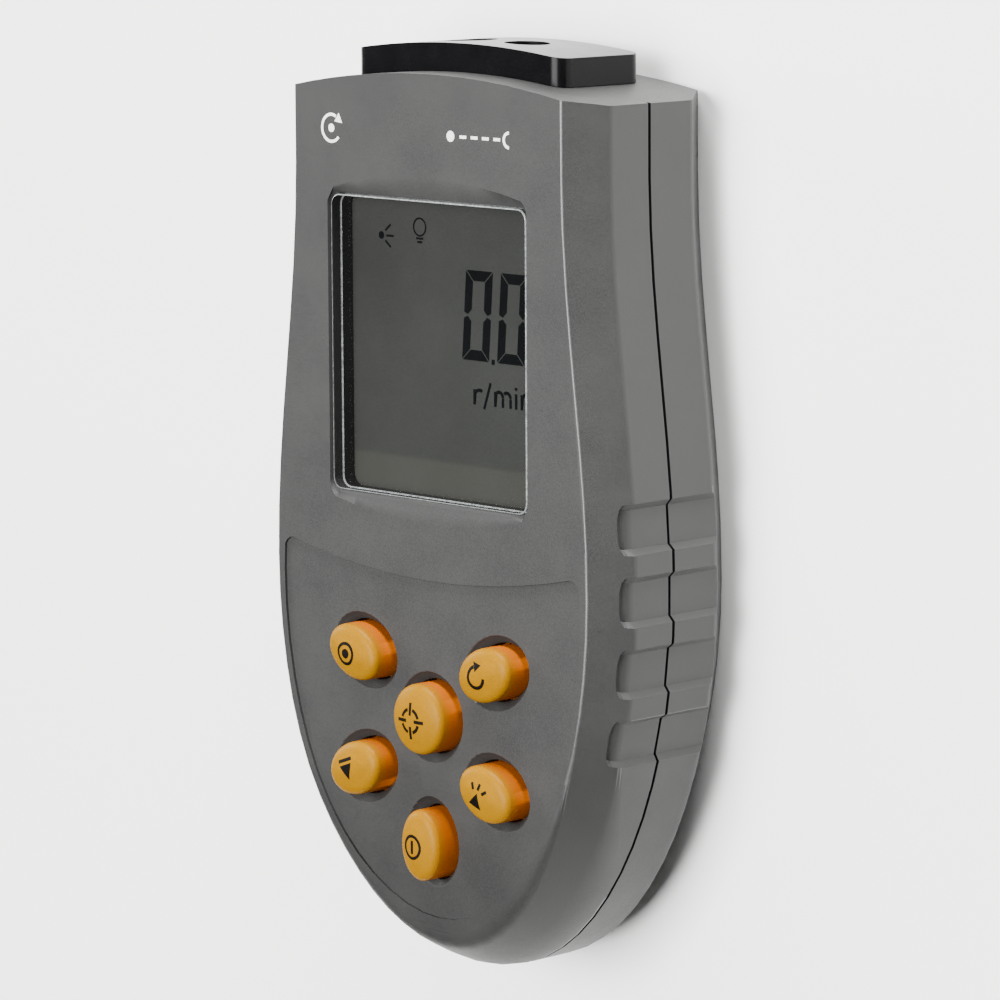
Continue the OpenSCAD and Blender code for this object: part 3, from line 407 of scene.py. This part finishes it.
def bar(x0, y0, x1, y1, width):
    """A straight stroke of even width."""
    length = math.hypot(x1 - x0, y1 - y0)
    nx, ny = (y0 - y1) / length * width / 2, (x1 - x0) / length * width / 2
    return [(x0 + nx, y0 + ny), (x0 - nx, y0 - ny), (x1 - nx, y1 - ny), (x1 + nx, y1 + ny)]


def turned(strokes, angle, x, y):
    """Strokes turned about the origin and moved to (x, y)."""
    c, s = math.cos(math.radians(angle)), math.sin(math.radians(angle))
    return [[(x + px * c - py * s, y + px * s + py * c) for px, py in stroke] for stroke in strokes]


# Plain pictograms: dot in a ring, round arrow, aiming mark, a triangle hanging from a
# bar, a triangle under a beam, and the power sign
glyphs = {
    "record": [circle(0, 0, 1.7), circle(0, 0, 1.25), circle(0, 0, 0.7)],
    "auto": [ring_arc(0, 0, 1.5, 0.5, 88, 250), [(0.1, 0.75), (0.1, 2.25), (1.5, 1.35)]],
    "test": [ring_arc(0, 0, 1.66, 0.46, start, 56, 12) for start in (17, 107, 197, 287)]
    + [bar(0, -2.6, 0, -0.8, 0.48), bar(0, 0.8, 0, 2.6, 0.48),
       bar(-2.6, 0, -0.8, 0, 0.48), bar(0.8, 0, 2.6, 0, 0.48)],
    "max": [bar(-1.4, 1.4, 1.4, 1.4, 0.5), [(-1.25, 0.75), (1.25, 0.75), (0, -1.5)]],
    "laser": [[(-1.25, -1.6), (1.25, -1.6), (0, 0.5)], bar(0, 1.0, 0, 1.95, 0.45),
              bar(-0.85, 0.75, -1.5, 1.5, 0.45), bar(0.85, 0.75, 1.5, 1.5, 0.45)],
    "power": [circle(0, 0, 1.8), circle(0, 0, 1.36), bar(0, -0.95, 0, 0.95, 0.5)],
}
# Pad-printed silicone ink: nearly black and matt, so the signs stay dark in any light
key_ink = wear("key_print_ink", "#030202", "#070504", patch=1.0, grain=0.2, rough=(0.45, 0.6),
               bump=0.1, height=0.008, Specular_IOR_Level=0.08)[0]
PRINT_OFF = (0.7, 0.2)
CELL, CELLS_EACH_WAY = 0.2, 14
for key in KEY_NAMES:
    low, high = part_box("key_" + key)
    middle = (low + high) / 2 / MM
    tilt = {"record": -20, "auto": 20, "max": 20, "laser": -20}.get(key, 0)
    print_x, print_y = middle.x - PRINT_OFF[0], middle.y - PRINT_OFF[1]
    sign = turned(glyphs[key], tilt, print_x, print_y)
    mark = flat_marks("print_" + key, sign, high.z / MM + 0.1, 0)
    # Cut into small cells, so that the sheet can follow the crown
    sheet = bmesh.new()
    sheet.from_mesh(mark.data)
    for axis in ((1, 0, 0), (0, 1, 0)):
        for step in range(-CELLS_EACH_WAY, CELLS_EACH_WAY + 1):
            at = (Vector((print_x, print_y, 0)) + Vector(axis) * step * CELL) * MM
            bmesh.ops.bisect_plane(sheet, geom=sheet.verts[:] + sheet.edges[:] + sheet.faces[:],
                                   plane_co=at, plane_no=axis)
    bmesh.ops.triangulate(sheet, faces=sheet.faces[:])
    sheet.to_mesh(mark.data)
    sheet.free()
    bpy.context.view_layer.objects.active = mark
    mark.select_set(True)
    lay = mark.modifiers.new("laid on the dome", "SHRINKWRAP")
    lay.target = key_pieces[key]
    lay.wrap_method = "PROJECT"
    lay.use_project_z = True
    lay.use_negative_direction = True
    lay.use_positive_direction = False
    lay.offset = PRINT_T * MM * 0.6
    bpy.ops.object.modifier_apply(modifier=lay.name)
    body = mark.modifiers.new("thickness of the ink", "SOLIDIFY")
    body.thickness = PRINT_T * MM * 0.9
    body.offset = -1 if mark.data.polygons[0].normal.z > 0 else 1
    bpy.ops.object.modifier_apply(modifier=body.name)
    bpy.ops.object.mode_set(mode="EDIT")
    bpy.ops.mesh.select_all(action="SELECT")
    bpy.ops.mesh.normals_make_consistent(inside=False)
    bpy.ops.object.mode_set(mode="OBJECT")
    bpy.ops.object.select_all(action="DESELECT")
    wrap(mark, key_ink, "key_" + key)


# Display: window, mask, glass and its figures.
# A clear acrylic window sits in its opening in the front shell. Behind it a black mask
# frames the liquid crystal glass, whose figures are dark navy on olive grey.
pane = moulded_copy("display_window", "window_pane", edge=0.18, angle=40, smooth=12, shortest=0.1)
# It stands up almost flush with the front, so its polished edge shows all round
PANE_LIFT = 0.45
pane_low, pane_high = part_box("display_window")
for vertex in pane.data.vertices:
    if vertex.co.z > (pane_low.z + pane_high.z) / 2:
        vertex.co.z += PANE_LIFT * MM
# Cast acrylic: clear, very smooth, with wipe marks that only show in a highlight
acrylic = wear("window_acrylic", "#101110", "#161716", patch=12, grain=2.5, rough=(0.02, 0.05),
               bump=0.03, height=0.004, Alpha=0.16, IOR=1.49)[0]
# Its polished edge is painted light: a painted highlight in a thin bright line all round the pane
pane_edge_highlight = wear("window_acrylic_edge_painted_highlight", "#5C5F5F", "#8C8F8F", patch=1.2, grain=0.4,
                   rough=(0.08, 0.2), bump=0.2, height=0.02, Alpha=0.85, IOR=1.49)[0]
wrap(pane, [acrylic, pane_edge_highlight])
# Black ABS mask with drag lines down its walls, which catch the light as thin streaks
mask, tree, shader, place = wear("black_mask_streaked", "#050505", "#0C0C0C", patch=3, grain=0.4,
                                 rough=(0.12, 0.4), bump=0.1, height=0.02)
streaks = add(tree, "Mapping", Vector=place, Scale=(2200, 60, 2200))
lines = add(tree, "TexNoise", Vector=streaks.outputs["Vector"], Scale=1.0, Detail=3.0)
relief = add(tree, "Bump", Height=lines.outputs["Fac"], Strength=0.9, Distance=0.08 * MM)
tree.links.new(relief.outputs["Normal"], shader.inputs["Normal"])
dress("lcd_frame", mask)

# Liquid crystal glass: a grey polariser film, a lighter strip where the seal ends at the bottom
glass, tree, shader, place = wear("lcd_polariser", "#2F302E", "#363735", patch=16, grain=0.25,
                                  rough=(0.3, 0.4), bump=0.08, height=0.006, IOR=1.45,
                                  Specular_IOR_Level=0.15)
split = add(tree, "SeparateXYZ", Vector=place)
panel_low, panel_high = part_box("lcd_panel")
SEAL_START, SEAL_FULL = 7.4, 6.4
strip = add(tree, "MapRange", {"interpolation_type": "SMOOTHSTEP"}, Value=split.outputs["Y"],
            From_Min=panel_low.y + SEAL_START * MM, From_Max=panel_low.y + SEAL_FULL * MM,
            To_Min=0.0, To_Max=0.35)
film = shader.inputs["Base Color"].links[0].from_socket
lift = add(tree, "Mix", {"data_type": "RGBA"}, i0=strip.outputs["Result"], i6=film,
           i7=linear("#45443F"))
tree.links.new(lift.outputs[2], shader.inputs["Base Color"])
dress("lcd_panel", glass)

# Seven-segment figures, one digit modelled once and copied, with a plain unit beneath
DIGIT_W, DIGIT_H, BAR_W, LEAN = 5.3, 12.5, 1.45, math.tan(math.radians(4))
BAR_GAP, BAR_TIP = 0.12, 0.3
LEFT_X, RIGHT_X, DIGIT_Y = 2.8, 9.7, 22.0


def segment_outlines(x, y):
    """The six lit bars of a nought, mitred where they meet, leaning to the right."""
    w, h, t, g = DIGIT_W, DIGIT_H, BAR_W, BAR_GAP
    bars = [[(g, h), (w - g, h), (w - t - g, h - t), (t + g, h - t)],
            [(g, 0), (w - g, 0), (w - t - g, t), (t + g, t)]]
    for side_x, inner in ((0, t), (w, w - t)):
        bars.append([(side_x, h - g), (side_x, h / 2 + g + BAR_TIP),
                     (side_x + (inner - side_x) / 2, h / 2 + g),
                     (inner, h / 2 + t / 2 + g), (inner, h - t - g)])
        bars.append([(side_x, g), (side_x, h / 2 - g - BAR_TIP),
                     (side_x + (inner - side_x) / 2, h / 2 - g),
                     (inner, h / 2 - t / 2 - g), (inner, t + g)])
    return [[(x + px + py * LEAN, y + py) for px, py in stroke] for stroke in bars]


glass_top = panel_high.z / MM
figures = segment_outlines(LEFT_X, DIGIT_Y) + segment_outlines(RIGHT_X, DIGIT_Y)
figures += [[(8.6, 21.7), (9.2, 21.7), (9.25, 22.4), (8.65, 22.4)]]
# Unit for turns per minute in plain strokes: r / min
UNIT_Y, PEN = 15.9, 0.46
SHOULDER = (1.35, 0.75, PEN, 0, 132, 12)
unit = [bar(5.2, 0, 5.2, 2.1, PEN), ring_arc(6.2, 1.05, 1.0, PEN, 58, 85, 10),
        bar(7.1, -0.5, 8.4, 3.2, 0.42),
        bar(9.3, 0, 9.3, 2.1, PEN), ring_arc(10.05, *SHOULDER), bar(10.8, 0, 10.8, 1.3, PEN),
        ring_arc(11.55, *SHOULDER), bar(12.3, 0, 12.3, 1.3, PEN),
        bar(13.4, 0, 13.4, 2.1, PEN), bar(13.4, 2.6, 13.4, 3.0, PEN),
        bar(14.5, 0, 14.5, 2.1, PEN), ring_arc(15.25, *SHOULDER), bar(16.0, 0, 16.0, 1.3, PEN)]
figures += [[(x, y + UNIT_Y) for x, y in stroke] for stroke in unit]
# Two small generic marks at the top left: a beam from a spot, and a lamp
figures += [circle(-13.4, 38.2, 0.55, 16), bar(-12.4, 38.2, -10.9, 38.2, 0.3),
            bar(-12.6, 38.9, -11.5, 39.8, 0.3), bar(-12.6, 37.5, -11.5, 36.6, 0.3),
            circle(-5.6, 39.8, 1.35, 24), circle(-5.6, 39.8, 1.1, 24),
            bar(-6.3, 38.2, -4.9, 38.2, 0.3), bar(-6.1, 37.7, -5.1, 37.7, 0.3)]
marks = flat_marks("lcd_figures", figures, glass_top + 0.03, 0.02)
# Aligned liquid crystal: dark navy, flat, with the film's own fine grain
navy = wear("lcd_segment_navy", "#010204", "#020407", patch=6, grain=0.3, rough=(0.3, 0.4),
            bump=0.05, height=0.004, Specular_IOR_Level=0.05)[0]
wrap(marks, navy)
# Tinned pins, dull silver with wipe marks
tin = wear("tinned_wire", "#9FA3A6", "#C9CCCE", patch=1.2, grain=0.2, rough=(0.25, 0.42), bump=0.15,
           height=0.01, Metallic=1.0)[0]
dress("lcd_pins", tin)


# Pictograms printed on the front.
# Two small white pictograms over the window, silk screened in the places where the maker
# prints words: a round arrow about a dot for turning, and a beam that meets a spot.
SIGN_Y, LINE_W = 53.2, 0.42
ARROW_X, SPOT_X, CATCH_X = -18.9, 5.2, 16.6
DASH_FROM, DASH_TO, DASH_PITCH = 7.0, 8.3, 2.2
arrow = [ring_arc(ARROW_X, SIGN_Y, 1.9, LINE_W, 60, 260),
         [(-17.38, 55.37), (-18.24, 54.14), (-16.66, 53.96)], circle(ARROW_X, SIGN_Y, 0.6, 20)]
beam = [circle(SPOT_X, SIGN_Y, 0.75, 24)]
beam += [bar(DASH_FROM + DASH_PITCH * i, SIGN_Y, DASH_TO + DASH_PITCH * i, SIGN_Y, LINE_W)
         for i in range(4)]
beam += [ring_arc(CATCH_X, SIGN_Y, 1.0, LINE_W, 90, 180, 16)]
face_z = 29.0
signs = flat_marks("front_pictograms", arrow + beam, face_z + 0.012, 0.02)
# Screen ink: warm white, thin, slightly broken by the grain beneath
screen_ink = wear("screen_print_white", "#C9C9C5", "#E6E6E2", patch=2.0, grain=0.3,
                  rough=(0.5, 0.7), bump=0.2, height=0.01)[0]
wrap(signs, screen_ink)


# Main board and what is soldered to it.
# A green glass-epoxy board closes off the front shell. Copper shows through the solder
# mask as raised, lighter lines, the key contacts are gold plated, the parts hang below.
mask_green, tree, shader, place = wear("solder_mask_green", "#0E3A1E", "#14492A", patch=7,
                                       grain=0.4, rough=(0.22, 0.36), bump=0.1, height=0.01)
grid = add(tree, "Mapping", Vector=place, Scale=(420, 420, 420))
copper = add(tree, "TexBrick", Vector=grid.outputs["Vector"], Color1=linear("#1D6B3C"),
             Color2=linear("#124A29"), Mortar=linear("#0D3A1F"), Scale=0.8, Mortar_Size=0.05)
under = shader.inputs["Base Color"].links[0].from_socket
traces = add(tree, "Mix", {"data_type": "RGBA"}, i0=0.6, i6=under, i7=copper.outputs["Color"])
tree.links.new(traces.outputs[2], shader.inputs["Base Color"])
relief = add(tree, "Bump", Height=copper.outputs["Fac"], Strength=0.4, Distance=0.04 * MM)
tree.links.new(relief.outputs["Normal"], shader.inputs["Normal"])
for node in ("main_board", "laser_board"):
    dress(node, mask_green)
# Thin gold over nickel: warm, slightly cloudy
gold = wear("gold_flash", "#C89A3E", "#E2BC66", patch=1.5, grain=0.2, rough=(0.2, 0.35), bump=0.1,
            height=0.006, Metallic=1.0)[0]
dress("contact_pads", gold)
# Moulded epoxy packages: charcoal with a fine sanded grain
epoxy = wear("epoxy_package", "#151516", "#202021", patch=2.0, grain=0.12, rough=(0.5, 0.7),
             bump=0.35, height=0.02)[0]
for node in ("microcontroller", "amplifier_chip", "voltage_regulator", "photo_sensor"):
    dress(node, epoxy)
# Drawn nickel silver can: bright, with faint lines from the draw
can = wear("drawn_can", "#A9ABAD", "#CFD0D1", patch=3.0, grain=0.25, rough=(0.2, 0.34), bump=0.12,
           height=0.008, Metallic=1.0)[0]
dress("quartz_crystal", can)
# Capacitor in a lacquered aluminium can
lacquer = wear("capacitor_can_lacquered", "#20263C", "#2C3450", patch=2.5, grain=0.3,
               rough=(0.25, 0.4), bump=0.1, height=0.01, Coat_Weight=0.4)[0]
dress("capacitor", lacquer)


# Optics behind the head.
# A black moulded holder carries the brass laser barrel and the photo sensor, both on the
# head's axis, and hangs from the board on two screws.
holder_black = wear("black_glass_filled_nylon", "#0C0C0D", "#18181A", patch=3.0, grain=0.25,
                    rough=(0.5, 0.7), bump=0.35, height=0.03)[0]
dress("optics_holder", holder_black)
# Free-cutting brass, with the rings that the lathe tool leaves round the barrel
brass, tree, shader, place = wear("turned_brass", "#B98B3C", "#D9AE5E", patch=2.0, grain=0.2,
                                  rough=(0.18, 0.3), bump=0.1, height=0.01, Metallic=1.0)
rings = add(tree, "TexWave", {"bands_direction": "Y"}, Vector=place, Scale=1 / (1.6 * MM),
            Distortion=0.3, Detail=1.0)
relief = add(tree, "Bump", Height=rings.outputs["Fac"], Strength=0.4, Distance=0.02 * MM)
tree.links.new(relief.outputs["Normal"], shader.inputs["Normal"])
dress("laser_barrel", brass)


# Battery, its snap, leads and foam.
# A nine volt block in a printed steel jacket, taken by a vinyl snap on two leads; a strip
# of foam under the bay's roof keeps it quiet.
jacket, tree, shader, place = wear("battery_steel_jacket", "#6E7277", "#8C9095", patch=8,
                                   grain=0.4, rough=(0.22, 0.36), bump=0.08, height=0.01,
                                   Metallic=0.7)
split = add(tree, "SeparateXYZ", Vector=place)
base_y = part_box("battery")[0].y
BAND_START, BAND_FULL = 31.9, 32.1
band = add(tree, "MapRange", Value=split.outputs["Y"], From_Min=base_y + BAND_START * MM,
           From_Max=base_y + BAND_FULL * MM)
under = shader.inputs["Base Color"].links[0].from_socket
two_tone = add(tree, "Mix", {"data_type": "RGBA"}, i0=band.outputs["Result"], i6=under,
               i7=linear("#1B1D22"))
tree.links.new(two_tone.outputs[2], shader.inputs["Base Color"])
dress("battery", jacket)
# Embossed vinyl: soft black with a leather-like pebble
vinyl = wear("snap_vinyl_pebbled", "#101011", "#1C1C1D", patch=2.0, grain=0.5, rough=(0.4, 0.6),
             bump=0.5, height=0.04)[0]
dress("battery_snap", vinyl)
for node, name, dark, light in (("lead_red", "pvc_red", "#8E1210", "#B01A16"),
                                ("lead_black", "pvc_black", "#0E0E0F", "#1A1A1B"),
                                ("laser_leads", "pvc_red_thin", "#8E1210", "#B01A16")):
    # Extruded PVC: waxy, with slight flats along the wire
    dress(node, wear(name, dark, light, patch=3.0, grain=0.6, rough=(0.32, 0.46), bump=0.15,
                     height=0.02)[0])
# Open-cell foam: matt, with pores of half a millimetre
foam, tree, shader, place = wear("open_cell_foam", "#17171A", "#27272A", patch=2.0, grain=0.3,
                                 rough=(0.85, 1.0), bump=0.3, height=0.05)
pores = add(tree, "TexVoronoi", Vector=place, Scale=1 / (0.5 * MM))
relief = add(tree, "Bump", Height=pores.outputs["Distance"], Strength=0.8, Distance=0.15 * MM)
tree.links.new(relief.outputs["Normal"], shader.inputs["Normal"])
dress("battery_pad", foam)


# Screws.
# Steel screws with crossed recesses, zinc plated, so slightly yellow and cloudy.
zinc = wear("zinc_plated_steel", "#8F9088", "#B9BAB0", patch=1.6, grain=0.18, rough=(0.28, 0.46),
            bump=0.15, height=0.01, Metallic=1.0)[0]
for node in ("case_screws", "board_screws", "holder_screws"):
    dress(node, zinc)
